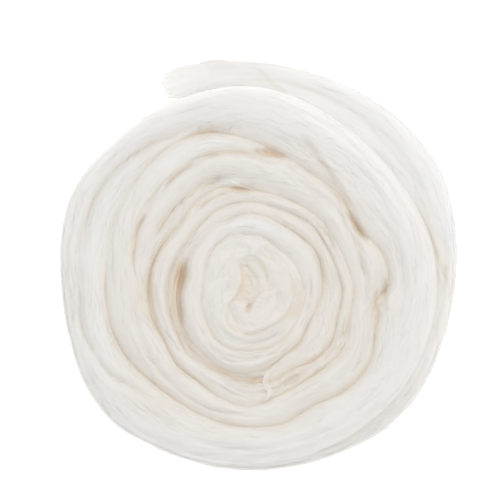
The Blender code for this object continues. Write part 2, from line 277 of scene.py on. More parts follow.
def smooth_reading(table, direction, window=21):
    """Reading of a closed table {direction: value}, rounded over a window in degrees."""
    every = np.arange(FULL_TURN)
    keys = sorted(table)
    values = np.interp(every, keys, [table[k] for k in keys], period=FULL_TURN)
    weights = np.hanning(window + 2)[1:-1]
    half = window // 2
    padded = np.concatenate([values[-half:], values, values[:half]])
    smooth = np.convolve(padded, weights / weights.sum(), "valid")
    return np.interp(np.mod(direction, FULL_TURN), every, smooth, period=FULL_TURN)


def crease_reading(edge, direction):
    table = CREASES[edge]
    return [smooth_reading({d: row[k] for d, row in table.items()}, direction) for k in range(3)]


def soft_step(x):
    x = np.clip(x, 0.0, 1.0)
    return x * x * (3 - 2 * x)


def rounded(x):
    """0 to 1 along a quarter of a circle."""
    return np.sqrt(np.clip(1 - (1 - np.clip(x, 0, 1)) ** 2, 0, 1))


def faded_ends(where, reach=0.2):
    """1 along a line, falling to 0 at both of its ends."""
    return soft_step(where / reach) * soft_step((1 - where) / reach)


def mottle(along, across, length, width, period):
    """Smooth random relief, long along the strand and narrow across it, closed after one period."""
    cells = max(3, round(period / length))
    lattice = rng.uniform(-1, 1, (cells, LATTICE_ROWS))
    a = np.mod(along / period, 1.0) * cells
    b = across / width + LATTICE_START
    i, j = np.floor(a).astype(int), np.floor(b).astype(int)
    ta, tb = soft_step(a - i), soft_step(b - j)
    i0, i1, j0, j1 = i % cells, (i + 1) % cells, j % LATTICE_ROWS, (j + 1) % LATTICE_ROWS
    low = lattice[i0, j0] * (1 - ta) + lattice[i1, j0] * ta
    high = lattice[i0, j1] * (1 - ta) + lattice[i1, j1] * ta
    return low * (1 - tb) + high * tb


def locks(along, across, lobes, period):
    """Relief of the combed fibres: the lobes of every size together."""
    height = 0.0
    for size, length, width, drawn in lobes:
        wave = mottle(along, across, length, width, period)
        drawn_wave = LOCK_GAIN * np.sqrt(wave**2 + LOCK_ROUNDING) - LOCK_LEVEL
        height = height + size * ((1 - drawn) * wave + drawn * drawn_wave)
    return height


def section(r_out, z_out, r_in, z_in, r_crest, z_crest, count):
    """Closed sections, one for each direction, from the outer side over the crest and round the base."""
    r_out, z_out, r_in, z_in, r_crest, z_crest = (
        np.asarray(v)[:, None] for v in (r_out, z_out, r_in, z_in, r_crest, z_crest)
    )

    def quarter(steps, r_side, z_side, z_level, roundness, from_side):
        t = np.arange(steps)[None, :] / steps * math.pi / 2
        sideways, upright = (np.cos(t), np.sin(t)) if from_side else (np.sin(t), np.cos(t))
        r = r_crest + (r_side - r_crest) * sideways ** (2 / roundness)
        return r, z_side + (z_level - z_side) * upright ** (2 / roundness)

    top = count * 3 // 4
    outer_top, inner_base = top // 2, (count - top) // 2
    quarters = (
        quarter(outer_top, r_out, z_out, z_crest, CREST_SHAPE, True),
        quarter(top - outer_top, r_in, z_in, z_crest, CREST_SHAPE, False),
        quarter(inner_base, r_in, z_in, FLOOR_GAP, BASE_SHAPE, True),
        quarter(count - top - inner_base, r_out, z_out, FLOOR_GAP, BASE_SHAPE, False),
    )
    return [np.concatenate(parts, 1) for parts in zip(*quarters)]


def section_side(edge, crest, beside, direction, radius, middle, sign):
    """Where a section ends on one side: its widest place and the height of that place.

    sign is 1 on the outer side of a turn and -1 on its inner side.
    """
    depth, over, gap = crease_reading(edge, direction)
    on_top = -over if sign > 0 else over
    tuck = LEAST_TUCK + TUCK * (1 - on_top) / 2
    width = np.abs(radius - middle)
    drop = np.maximum(crest - ((crest + beside) / 2 - depth), LEAST_DROP)
    reach = width / (width + tuck)
    share = (1 - reach**CREST_SHAPE) ** (1 / CREST_SHAPE)
    side = crest - drop / (1 - share)
    return radius + sign * (tuck - gap), np.maximum(side, LEAST_SIDE)


def distance_along(x, y, line):
    """Distance from points to a line, how far along it the nearest place is, and the side (1 on its left)."""
    nearest = np.full(x.shape, np.inf)
    where = np.zeros(x.shape)
    side = np.zeros(x.shape)
    last = len(line) - 1
    for k, ((ax, ay), (bx, by)) in enumerate(zip(line, line[1:])):
        dx, dy = bx - ax, by - ay
        t = np.clip(((x - ax) * dx + (y - ay) * dy) / (dx * dx + dy * dy), 0.0, 1.0)
        away = np.hypot(x - ax - t * dx, y - ay - t * dy)
        closer = away < nearest
        nearest = np.where(closer, away, nearest)
        where = np.where(closer, (k + t) / last, where)
        side = np.where(closer, np.sign(dx * (y - ay) - dy * (x - ax)), side)
    return nearest, where, side


def flat_place(radius, direction):
    angle = np.radians(direction)
    return radius * np.cos(angle), radius * np.sin(angle)


def fine_path(path, step=2.0):
    """(x, y) points of a path of directions and radii, filled in along a smooth curve."""
    return smooth_path([flat_place(radius, direction) for direction, radius in path], step)


def smooth_path(points, step):
    x, y = np.array(points, float).T
    arc = np.concatenate([[0], np.cumsum(np.hypot(np.diff(x), np.diff(y)))])
    even = np.linspace(0, arc[-1], max(8, int(arc[-1] / step)))
    return list(zip(smooth_through(arc, x, even), smooth_through(arc, y, even)))


def smooth_through(places, values, at):
    """Catmull-Rom reading of values at uneven places."""
    slopes = np.gradient(values, places)
    k = np.clip(np.searchsorted(places, at, side="right") - 1, 0, len(places) - 2)
    span = places[k + 1] - places[k]
    t = (at - places[k]) / span
    h00 = (1 + 2 * t) * (1 - t) ** 2
    h10 = t * (1 - t) ** 2
    h01 = t * t * (3 - 2 * t)
    h11 = t * t * (t - 1)
    return h00 * values[k] + h10 * span * slopes[k] + h01 * values[k + 1] + h11 * span * slopes[k + 1]


def line_pressing(x, y, lines):
    """How deep the drawn-together lines press at each place."""
    pressed = np.zeros(x.shape)
    for depth, half_width, path in lines:
        away, where, _ = distance_along(x, y, fine_path(path))
        share = np.clip(1 - away / half_width, 0, 1) ** 2.0
        pressed = np.maximum(pressed, depth * share * faded_ends(where, 0.25))
    return pressed


def lip_rise(x, y, lips, softness=LIP_SOFTNESS):
    """Rise on the upper side of each layer's edge, and the dip beside it."""
    height = np.zeros(x.shape)
    for rise, reach, line in lips:
        away, where, side = distance_along(x, y, line)
        height += rise * faded_ends(where) * np.tanh(side * away / softness) * np.exp(-away / reach)
    return height


def turn_lips(name):
    return [(rise, reach, fine_path(path)) for rise, reach, path in LIPS.get(name, ())]


def hollow_pressing(x, y, hollows):
    pressed = np.zeros(x.shape)
    for direction, radius, along, across, depth in hollows:
        cx, cy = flat_place(radius, direction)
        angle = math.radians(direction)
        outward = (x - cx) * math.cos(angle) + (y - cy) * math.sin(angle)
        sideways = -(x - cx) * math.sin(angle) + (y - cy) * math.cos(angle)
        outward = outward + sideways**2 / (2 * radius)
        pressed += depth * np.exp(-((outward / across) ** 2) - (sideways / along) ** 2)
    return pressed


def normals_of(r, z):
    """The outward normals of closed sections, each within its own plane."""
    dr = np.roll(r, -1, 1) - np.roll(r, 1, 1)
    dz = np.roll(z, -1, 1) - np.roll(z, 1, 1)
    size = np.hypot(dr, dz) + 1e-6
    return dz / size, -dr / size


def across_length(r, z):
    step = np.hypot(np.diff(r, axis=1), np.diff(z, axis=1))
    return np.concatenate([np.zeros((len(r), 1)), np.cumsum(step, 1)], 1)


def drift(angle, phases):
    return sum(size * np.sin(waves * angle + phase) for (waves, size), phase in zip(DRIFTS, phases))


def relief(direction, r, z, lobes, period):
    """Lobes of the combed fibres, with a slow drift across the strand."""
    across = across_length(r, z)
    angle = np.radians(direction)[:, None]
    aside = drift(angle, rng.uniform(0, 6, 2))
    return locks(angle / (2 * math.pi) * period + 0 * across, across + aside, lobes, period)


def with_relief(r, z, normals, height):
    """Sections that stand out by their relief, which dies away towards the floor."""
    r = r + normals[0] * height
    z = z + normals[1] * height * soft_step((z - RELIEF_FROM) / RELIEF_OVER)
    return r, np.maximum(z, FLOOR_GAP)


def close_ends(r, z):
    """Draws the first and the last section of a spindle together."""
    for end in (0, -1):
        r[end] = r[end].mean()
        z[end] = z[end].mean()


def world_places(direction, r, z):
    angle = np.radians(direction)
    x = WINDING_CENTRE[0] + r * np.cos(angle)
    y = WINDING_CENTRE[1] + r * np.sin(angle)
    return np.stack([x, y, z], -1) * MM


def free_selection():
    if bpy.context.mode != "OBJECT":
        bpy.ops.object.mode_set(mode="OBJECT")
    bpy.ops.object.select_all(action="DESELECT")


def named_mesh(name):
    """The primitive just added, under its name, with the coordinates of its points."""
    thing = bpy.context.object
    thing.name = thing.data.name = name
    return thing, *vertex_places(thing)


def vertex_places(thing):
    co = np.empty(len(thing.data.vertices) * 3)
    thing.data.vertices.foreach_get("co", co)
    return co.reshape(-1, 3).T


def part_of_turn(y, x, parts):
    return np.rint(np.arctan2(y, x) / (2 * math.pi) * parts).astype(int) % parts


def start_ring(name, round_steps, section_points):
    """A torus to be shaped, with the place of each of its points as (step round, point in the section)."""
    free_selection()
    bpy.ops.mesh.primitive_torus_add(
        major_segments=round_steps,
        minor_segments=section_points,
        major_radius=1.0,
        minor_radius=0.25,
        generate_uvs=False,
    )
    thing, x, y, z = named_mesh(name)
    return thing, part_of_turn(y, x, round_steps), part_of_turn(z, np.hypot(x, y) - 1.0, section_points)


def start_spindle(name, steps, section_points):
    """A ball to be drawn out, with the place of each of its points as (step along, point in the section)."""
    free_selection()
    bpy.ops.mesh.primitive_uv_sphere_add(segments=section_points, ring_count=steps, radius=1.0)
    thing, x, y, z = named_mesh(name)
    step = np.rint(np.arccos(np.clip(z, -1, 1)) / math.pi * steps).astype(int)
    point = part_of_turn(y, x, section_points)
    return thing, step, np.where((step == 0) | (step == steps), 0, point)


def give_attribute(mesh, name, kind, values):
    attribute = mesh.attributes.new(name, kind, "POINT")
    field = "value" if kind == "FLOAT" else "vector"
    attribute.data.foreach_set(field, np.ascontiguousarray(values, dtype=np.float32).ravel())


def finish_mesh(thing):
    """Turns all faces outward and smooths the shading."""
    free_selection()
    thing.select_set(True)
    bpy.context.view_layer.objects.active = thing
    bpy.ops.object.mode_set(mode="EDIT")
    bpy.ops.mesh.select_all(action="SELECT")
    bpy.ops.mesh.normals_make_consistent(inside=False)
    bpy.ops.object.mode_set(mode="OBJECT")
    bpy.ops.object.shade_smooth()
    thing.select_set(False)


SURFACES = {}  # each piece's points as rows of sections, in millimetres


def shape(thing, step, point, places, flow, through):
    """Moves the points of a started piece to their places and gives them their flow and light."""
    mesh = thing.data
    mesh.vertices.foreach_set("co", places[step, point].ravel())
    give_attribute(mesh, "flow", "FLOAT_VECTOR", flow[step, point])
    give_attribute(mesh, "through", "FLOAT", through[step, point])
    mesh.update()
    SURFACES[thing.name] = places / MM
    finish_mesh(thing)
    return thing


FLOW_ROUNDS = 2.2  # how far the streak pattern runs round one turn, against millimetres across it


def ring_flow(direction, r, z, seed):
    """Streak coordinates that close on themselves after one turn."""
    angle = np.radians(direction)[:, None]
    across = across_length(r, z)
    size = FLOW_ROUNDS * r.mean() / 60
    x = size * np.cos(angle) + 0 * across + 7 * seed
    y = size * np.sin(angle) + 0 * across
    return np.stack([x, y, across + drift(angle, (seed, 2 * seed))], -1)


EDGE_DEPTH = 1.6
EDGE_LIGHT = 0.12
LIT_FROM = 0.30  # share of the crest's height from which the light grows, and over which
LIT_OVER = 0.30


def edge_light(r, z, outermost, crest, depth, most):
    """Light that comes through the thin outer edge of a turn, falling away inside it and down its side."""
    inside = np.maximum(np.asarray(outermost)[:, None] - r, 0.0)
    return most * np.exp(-((inside / depth) ** 1.5)) * soft_step((z / crest[:, None] - LIT_FROM) / LIT_OVER)


def build_turn(name, seed):
    outer, inner, steps, points = TURNS[name]
    direction = np.arange(steps) * FULL_TURN / steps
    crest = smooth_reading(CRESTS[name], direction)
    neighbours = [*TURNS, "heart_fold"]
    k = neighbours.index(name)
    r_o, r_i = edge_radius(outer, direction), edge_radius(inner, direction)
    if name == "wide_turn":
        middle = r_o - WIDE_CREST * (r_o - r_i)
        out_r, out_z = r_o + WIDE_SWELL, WIDE_SIDE_LEVEL * crest
    else:
        # the crest leans towards a side that lies on its neighbour
        over = crease_reading(outer, direction)[1] + crease_reading(inner, direction)[1]
        middle = r_o + (0.5 + LEAN * over / 2) * (r_i - r_o)
        beside = smooth_reading(CRESTS[neighbours[k - 1]], direction)
        out_r, out_z = section_side(outer, crest, beside, direction, r_o, middle, 1)
    beside = smooth_reading(CRESTS[neighbours[k + 1]], direction)
    in_r, in_z = section_side(inner, crest, beside, direction, r_i, middle, -1)
    r, z = section(out_r, out_z, in_r, in_z, middle, crest, points)
    upper = soft_step((z / crest[:, None] - PRESSED_FROM) / PRESSED_OVER)
    x, y = flat_place(r, direction[:, None])
    pressed = line_pressing(x, y, LINES.get(name, ())) + hollow_pressing(x, y, HOLLOWS)
    lifted = hollow_pressing(x, y, SWELLINGS) + lip_rise(x, y, turn_lips(name))
    normals, height = normals_of(r, z), relief(direction, r, z, LOBES, 2 * math.pi * r_o.mean())
    flow = ring_flow(direction, r, z, seed)
    r, z = with_relief(r, z + (lifted - pressed) * upper, normals, height)
    through = 0.0 * r
    if name == "wide_turn":
        seen = soft_step((direction - 45) / 45) * soft_step((222 - direction) / 20)
        through = edge_light(r, z, out_r, crest, EDGE_DEPTH, EDGE_LIGHT) * seen[:, None]
    places = world_places(direction[:, None], r, z)
    return shape(*start_ring(name, steps, points), places, flow, through)


def build_last_turn(seed):
    """The outermost turn: a spindle drawn out round the body, flat and thin at the loose end."""
    steps, points = LAST_TURN_STEPS, LAST_TURN_POINTS
    along = np.linspace(0, 1, steps + 1)
    direction = LAST_TURN_START + (LAST_TURN_END - LAST_TURN_START) * along
    keys = sorted(LAST_TURN_HEIGHTS)
    crest = np.interp(direction, keys, [LAST_TURN_HEIGHTS[k] for k in keys])
    weights = np.hanning(2 * LAST_TURN_SMOOTHING + 1)
    crest = np.convolve(np.pad(crest, LAST_TURN_SMOOTHING, "edge"), weights / weights.sum(), "valid")
    rim, last = edge_radius("rim", direction), edge_radius("last", direction)
    last = np.maximum(np.where(direction > LAST_TURN_TIP_FROM, LAST_TURN_TIP, last), rim + 1.0)
    last = last - LAST_TURN_TAIL * soft_step((LAST_TURN_TAIL_FROM - direction) / LAST_TURN_TAIL_OVER)
    inside = rim - np.interp(direction, *LAST_TURN_UNDER)
    end = rounded(along / LAST_TURN_ENDS[0]) * rounded((1 - along) / LAST_TURN_ENDS[1])
    end = np.maximum(end, 0.02)
    middle = LAST_TURN_CREST * last + (1 - LAST_TURN_CREST) * inside
    width = (last - inside) / 2 * (0.35 + 0.65 * end)
    out_r, in_r = (last + inside) / 2 + width, (last + inside) / 2 - width
    height = LAST_TURN_THIN + (crest - LAST_TURN_THIN) * end * soft_step((107.5 - direction) / 8)
    out_z, in_z = (level * height for level in LAST_SIDE_LEVELS)
    r, z = section(out_r, out_z, in_r, in_z, middle, height, points)
    normals = normals_of(r, z)
    lobes = relief(direction, r, z, LOBES, 2 * math.pi * 112) * np.clip(height / 25, 0.1, 1)[:, None]
    flow = ring_flow(direction, r, z, seed)
    x, y = flat_place(r, direction[:, None])
    z = z + lip_rise(x, y, turn_lips("last_turn")) * soft_step((z / height[:, None] - 0.4) / 0.3)
    r, z = with_relief(r, z, normals, lobes)
    close_ends(r, z)
    depth, most, thin = (np.interp(direction, *table)[:, None] for table in LAST_TURN_LIGHT)
    inward = soft_step((middle[:, None] + 3.0 - r) / 7.0)
    through = edge_light(r, z, out_r, height, depth, most) + thin * inward
    places = world_places(direction[:, None], r, z)
    return shape(*start_spindle("last_turn", steps, points), places, flow, through)


# The heart of the roll: the inner end of the strand folded on itself. Paths here are (x, y) from the centre.
HEART_STEPS = 110
HEART_ROUND = 300
HEART_ROUNDING = 6.5  # how far in from its edge the heart begins to fall away
HEART_HEIGHT = 30.5
HEART_UNDERSIDE = 10.0
HEART_FLAT = 0.74  # share of the rows for the flat middle
HEART_SIDE = 0.90  # and up to the end of its fall at the edge
HEART_DIPS = (
    # depth, half width, path
    (3.0, 4.8, ((-3.2, 18.5), (-0.2, 12.5), (1.2, 7.5), (0.6, 2.0), (-1.4, -3.0), (-1.0, -7.0))),
    (0.9, 2.4, ((-6.0, -7.0), (-7.5, -11.0), (-6.5, -15.0), (-1.5, -17.5))),
    (2.4, 1.1, ((-1.0, -11.6), (0.0, -8.8), (1.0, -6.0))),
    (1.6, 2.4, ((15.5, 1.0), (16.5, -6.0), (14.0, -12.0))),
    (1.6, 2.2, ((-16.5, 19.5), (-11.5, 22.8), (-5.5, 24.2), (1.5, 24.0))),
    (1.8, 2.0, ((25.5, 8.0), (26.5, 0.0), (25.0, -9.0), (20.5, -16.0))),
    (1.6, 2.0, ((-16.0, -19.0), (-9.0, -25.0), (0.0, -27.5), (9.0, -25.5), (17.0, -20.5))),
)
HEART_LIPS = (
    # rise, reach, path with the upper layer on its left
    (1.3, 3.2, ((-6.3, -20.5), (-0.2, -21.6), (5.4, -20.4), (10.3, -18.4), (16.0, -15.1), (20.4, -10.3),
                (22.4, -3.0))),
    (1.1, 3.0, ((22.0, -5.0), (22.4, 2.0), (20.5, 8.5), (15.5, 14.5), (9.5, 18.5), (2.5, 20.5))),
    (1.4, 3.6, ((0.5, -21.8), (-6.7, -20.6), (-10.6, -16.5), (-11.3, -11.5), (-10.0, -7.0), (-7.5, -3.4),
                (-5.0, 0.0), (-3.4, 4.5), (-3.2, 9.0), (-4.8, 14.0), (-8.0, 19.0))),
    (1.2, 2.6, ((-1.0, 19.5), (4.8, 17.8), (8.9, 12.0), (10.4, 6.5), (8.8, 2.6))),
    (0.9, 2.2, ((-1.5, 15.0), (2.2, 11.0), (5.4, 6.0), (4.0, 1.8))),
    (0.7, 1.6, ((-3.0, 13.0), (-0.4, 9.5), (2.0, 5.0), (1.5, 1.0))),
    (1.1, 3.0, ((15.5, -2.0), (13.0, 0.9), (8.0, 0.4), (4.4, -2.8), (2.2, -7.6), (0.4, -11.5))),
    (0.8, 2.6, ((-14.5, 17.5), (-10.8, 21.8), (-5.0, 23.6), (3.0, 23.4))),
)
HEART_LOOP = ((9, 18), (15, 12), (17, 3), (15.5, -6), (9, -12.5), (1, -16), (-5.5, -13.5))
HEART_RADIUS = 16
HEART_RELIEF = 1.5
HEART_SOFTNESS = 1.5
LOOP_RISE = 1.3
LOOP_WIDTH = 5.0


def heart_lips():
    return [(rise, reach, smooth_path(path, 1.0)) for rise, reach, path in HEART_LIPS]


def build_heart(seed):
    direction = np.arange(HEART_ROUND) * FULL_TURN / HEART_ROUND
    crest = smooth_reading(CRESTS["heart_fold"], direction)
    beside = smooth_reading(CRESTS["roll_turn"], direction)
    rim = edge_radius("inner", direction)
    middle = rim - HEART_ROUNDING
    out_r, out_z = section_side("inner", crest, beside, direction, rim, middle, 1)
    middle, out_r, out_z, crest = (v[:, None] for v in (middle, out_r, out_z, crest))
    rows = np.arange(HEART_STEPS + 1)[None, :] / HEART_STEPS
    inward = np.clip(rows / HEART_FLAT, 0, 1)
    t = np.clip((rows - HEART_FLAT) / (HEART_SIDE - HEART_FLAT), 0, 1) * math.pi / 2
    r = middle * inward + (out_r - middle) * np.sin(t) ** (2 / CREST_SHAPE)
    top = HEART_HEIGHT + (crest - HEART_HEIGHT) * inward**2
    z = out_z + (top - out_z) * np.clip(np.cos(t), 0, 1) ** (2 / CREST_SHAPE)
    under = np.clip((rows - HEART_SIDE) / (1 - HEART_SIDE), 0, 1)
    r = r * (1 - under)
    z = np.where(under > 0, out_z - (out_z - HEART_UNDERSIDE) * soft_step(under * 3), z)
    x, y = flat_place(r, direction[:, None])
    along_loop, where, _ = distance_along(x, y, smooth_path(HEART_LOOP, 1.0))
    change = LOOP_RISE * np.exp(-((along_loop / LOOP_WIDTH) ** 2)) * faded_ends(where)
    for depth, half_width, path in HEART_DIPS:
        away, where, _ = distance_along(x, y, smooth_path(path, 1.0))
        ends = soft_step(0.3 + where / 0.3) * soft_step(0.3 + (1 - where) / 0.3)
        change = change - depth * np.exp(-((away / half_width) ** 2)) * ends
    change = change + HEART_RELIEF * lip_rise(x, y, heart_lips(), HEART_SOFTNESS)
    along = np.radians(direction)[:, None] * HEART_RADIUS + 0 * r
    change = change + locks(along, along_loop, HEART_LOBES, 2 * math.pi * HEART_RADIUS)
    z = z + change * np.where(under > 0, 0.0, 1.0)
    flow = np.stack([x / 24 + seed, y / 24, along_loop * 1.2], -1)
    places = world_places(direction[:, None], r, z)
    thing, step, point = start_spindle("heart_fold", HEART_STEPS, HEART_ROUND)
    return shape(thing, point, step, places, flow, 0 * r)


COLOUR, NUMBER = "NodeSocketColor", "NodeSocketFloat"


def shader_group(name, inputs, outputs):
    group = bpy.data.node_groups.new(name, "ShaderNodeTree")
    for way, sockets in (("INPUT", inputs), ("OUTPUT", outputs)):
        for label, kind in sockets.items():
            group.interface.new_socket(label, in_out=way, socket_type=kind)
    return group, group.nodes.new("NodeGroupInput").outputs, group.nodes.new("NodeGroupOutput").inputs


def combed_wool_group():
    """Combed fibres: long pale streaks, with a painted warm shade deep between the turns."""
    colours = dict.fromkeys(("Light", "Shade", "Shade Tint", "Deep Shade", "Through"), COLOUR)
    numbers = dict.fromkeys(("Shade Amount", "Streaks", "Crease Light"), NUMBER)
    group, given, out = shader_group(
        "combed_fibres",
        {**colours, **numbers},
        {"Color": COLOUR, "Glow": COLOUR, "Height": NUMBER, "Roughness": NUMBER},
    )
    nodes, links = group.nodes, group.links

    def attribute(name):
        node = nodes.new("ShaderNodeAttribute")
        node.attribute_name = name
        return node.outputs

    def math_node(operation, a, b, clamp=False):
        node = nodes.new("ShaderNodeMath")
        node.operation = operation
        node.use_clamp = clamp
        for socket, value in zip(node.inputs, (a, b)):
            if isinstance(value, (int, float)):
                socket.default_value = value
            else:
                links.new(value, socket)
        return node.outputs[0]

    def plus(a, b, clamp=False):
        return math_node("ADD", a, b, clamp)

    def times(a, b, clamp=False):
        return math_node("MULTIPLY", a, b, clamp)

    def vector_node(operation, first):
        node = nodes.new("ShaderNodeVectorMath")
        node.operation = operation
        links.new(first, node.inputs[0])
        return node

    def scaled(colour, amount):
        node = vector_node("SCALE", colour)
        links.new(amount, node.inputs["Scale"])
        return node.outputs[0]

    def stretched_noise(along, across, detail, rough):
        stretched = vector_node("MULTIPLY", flow)
        stretched.inputs[1].default_value = (along, along, across)
        noise = nodes.new("ShaderNodeTexNoise")
        noise.inputs["Scale"].default_value = 1.0
        noise.inputs["Detail"].default_value = detail
        noise.inputs["Roughness"].default_value = rough
        links.new(stretched.outputs[0], noise.inputs["Vector"])
        return noise.outputs["Fac"]

    def mix_colours(factor, first, second):
        node = nodes.new("ShaderNodeMix")
        node.data_type = "RGBA"
        for label, value in (("Factor", factor), ("A", first), ("B", second)):
            links.new(value, node.inputs[label])
        return node.outputs["Result"]

    flow = attribute("flow")["Vector"]
    crease_shade = attribute("crease_shade")["Fac"]
    broad = stretched_noise(0.8, 0.14, 2.0, 0.5)
    wisps = stretched_noise(1.4, 0.5, 3.0, 0.55)
    fibres = stretched_noise(2.2, 2.6, 4.0, 0.65)
    mixed = plus(plus(times(broad, 0.3), times(wisps, 0.4)), times(fibres, 0.3))
    from_middle = plus(mixed, -0.5)
    streak = times(plus(times(from_middle, 4.0), 0.4, clamp=True), given["Streaks"])
    pale = mix_colours(streak, given["Light"], given["Shade"])

    # painted shade: a warm colour in the creases that breaks up along the fibres, and is deepest in the
    # hollows
    uneven = times(plus(crease_shade, times(from_middle, 0.9)), plus(times(crease_shade, 2.0), 0.35, clamp=True))
    painted_shade = times(math_node("MAXIMUM", uneven, 0.0), given["Shade Amount"], clamp=True)
    shade_tinted = mix_colours(times(painted_shade, 1.6, clamp=True), pale, given["Shade Tint"])
    toned = mix_colours(times(plus(painted_shade, -0.45), 1.6, clamp=True), shade_tinted, given["Deep Shade"])
    links.new(toned, out["Color"])

    # painted light, given as glow: between the fibres of a crease, less in the deepest hollows, and through
    # thin edges
    deep_light = times(times(crease_shade, crease_shade), given["Crease Light"])
    deep_light = times(deep_light, plus(times(crease_shade, -1.4), 2.3, clamp=True))
    glow = vector_node("ADD", scaled(toned, deep_light))
    links.new(scaled(given["Through"], attribute("through")["Fac"]), glow.inputs[1])
    links.new(glow.outputs[0], out["Glow"])
    links.new(plus(times(wisps, 0.4), times(fibres, 0.5)), out["Height"])
    links.new(plus(times(fibres, 0.3), 0.78), out["Roughness"])
    return group


WOOL = combed_wool_group()
# Besides the streak colours, these give the colours and amounts of the painted shade in the creases and of
# the painted light given as glow.
WOOL_FIBRES = {
    "Light": (0.93, 0.915, 0.89, 1),
    "Shade": (0.88, 0.86, 0.825, 1),
    "Shade Tint": (0.84, 0.79, 0.71, 1),
    "Deep Shade": (0.75, 0.58, 0.42, 1),
    "Through": (0.93, 0.95, 0.96, 1),
    "Shade Amount": 0.9,
    "Streaks": 0.46,
    "Crease Light": 0.11,
}
# a whiter copy of the same wool with less painted crease shade, for the outermost turn and the loose end,
# which lie in fuller light: painted light
LIT_FIBRES = {
    "Light": (0.925, 0.922, 0.91, 1),
    "Shade": (0.88, 0.874, 0.857, 1),
    "Shade Amount": 0.75,
    "Streaks": 0.6,
}
WOOL_SURFACE = {
    "Emission Strength": 1.0,
    "Specular IOR Level": 0.25,
    "Sheen Weight": 0.4,
    "Sheen Roughness": 0.45,
    "Sheen Tint": (1.0, 0.98, 0.95, 1),
}
BUMP_DEPTH = 0.4


def wool_material(name, fibre_values, bump):
    material = bpy.data.materials.new(name)
    material.use_nodes = True
    nodes, links = material.node_tree.nodes, material.node_tree.links
    shader = nodes["Principled BSDF"]
    fibres = nodes.new("ShaderNodeGroup")
    fibres.node_tree = WOOL
    raised = nodes.new("ShaderNodeBump")
    raised.inputs["Strength"].default_value = bump
    raised.inputs["Distance"].default_value = BUMP_DEPTH * MM
    for node, values in ((fibres, fibre_values), (shader, WOOL_SURFACE)):
        for label, value in values.items():
            node.inputs[label].default_value = value
    links.new(fibres.outputs["Color"], shader.inputs["Base Color"])
    links.new(fibres.outputs["Roughness"], shader.inputs["Roughness"])
    links.new(fibres.outputs["Glow"], shader.inputs["Emission Color"])
    links.new(fibres.outputs["Height"], raised.inputs["Height"])
    links.new(raised.outputs["Normal"], shader.inputs["Normal"])
    return material


COMBED_WOOL = wool_material("combed_wool", WOOL_FIBRES, bump=0.55)
LIT_WOOL = wool_material("lit_wool", {**WOOL_FIBRES, **LIT_FIBRES}, bump=0.6)
LOOSE_WOOL = wool_material("loose_wool", {**WOOL_FIBRES, "Streaks": 0.4}, bump=0.2)


def finish_piece(piece, node, material=COMBED_WOOL):
    piece.data.materials.clear()
    piece.data.materials.append(material)
    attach(piece, "root")
    if node:
        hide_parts(node)


turns = [build_turn(name, 1.0 + k) for k, name in enumerate(TURNS)]
turns.append(build_last_turn(9.0))
turns.append(build_heart(12.0))
for piece in turns:
    finish_piece(piece, "coil", LIT_WOOL if piece.name == "last_turn" else COMBED_WOOL)

# The loose end: a flat feathered tongue on the floor.
LOOSE_END_STEPS = 90
LOOSE_END_POINTS = 64
LOOSE_END_FROM, LOOSE_END_TO = 98.5, 112.8
LOOSE_END_ROWS = (98.5, 102.5, 105.5, 108.5, 111.0, 112.8)
LOOSE_END = {
    # directions and values
    "inner": (LOOSE_END_ROWS, (106.6, 106.6, 106.8, 107.2, 108.6, 113.0)),
    "outer": (LOOSE_END_ROWS, (122.0, 123.0, 124.0, 124.0, 123.2, 118.0)),
    "thick": (LOOSE_END_ROWS, (2.9, 2.6, 2.2, 1.7, 1.1, 0.4)),
    "light": ((98.5, 103, 106.5, 109.5, 112.8), (0.03, 0.04, 0.09, 0.18, 0.25)),
}
LOOSE_END_RAGGED = 106.0  # where its edge starts to fray
LOOSE_END_WAVES = ((0.5, 0.7), (0.45, 1.5), (0.3, 2.9), (0.2, 5.1))  # degrees, waves per millimetre across


def build_loose_end():
    along = np.linspace(0, 1, LOOSE_END_STEPS + 1)
    direction = LOOSE_END_FROM + (LOOSE_END_TO - LOOSE_END_FROM) * along
    inner, outer, thick, light = (np.interp(direction, *table) for table in LOOSE_END.values())
    side = FLOOR_GAP + 0.4 * thick
    r, z = section(outer, side, inner, side, (inner + outer) / 2, FLOOR_GAP + thick, LOOSE_END_POINTS)
    normals = normals_of(r, z)
    lobes = relief(direction, r, z, LOBES, 2 * math.pi * 115) * 0.4 * (thick / 3.6)[:, None]
    flow = ring_flow(direction, r, z, 3.3)
    z = np.maximum(z + normals[1] * lobes * soft_step((z - 0.6) / 1.0), FLOOR_GAP)
    close_ends(r, z)
    tip = soft_step((direction - LOOSE_END_RAGGED) / (LOOSE_END_TO - LOOSE_END_RAGGED))[:, None]
    ragged = sum(size * np.sin(r * rate + rng.uniform(0, 6.3)) for size, rate in LOOSE_END_WAVES)
    places = world_places(direction[:, None] + tip * ragged, r, z)
    spindle = start_spindle("loose_end_tongue", LOOSE_END_STEPS, LOOSE_END_POINTS)
    return shape(*spindle, places, flow, light[:, None] + 0 * r)


tongue = build_loose_end()
finish_piece(tongue, "loose_end", LIT_WOOL)

# The top surface as a map, how deep in a groove each place of it lies, and the painted shade that this gives
# the wool.
MAP_STEP = 0.5
MAP_REACH = 112.0
MAP_TOP = 60.0
LOOK_ROUND = 8  # pairs of opposite directions
LOOK_DISTANCES = (0.5, 1.0, 1.5, 2.0, 3.0, 4.5, 6.5, 9.0, 13.0)
GROOVE_GAIN = 2.3
GROOVE_SHARES = ((1, 0.22), (3, 0.45), (9, 0.38))  # how far each share spreads, in steps of the map
SHADE_MARGIN = 6.0
SHADE_REACH = 1.8
SHADE_EDGE = 0.5
LIP_SHADE = 0.34
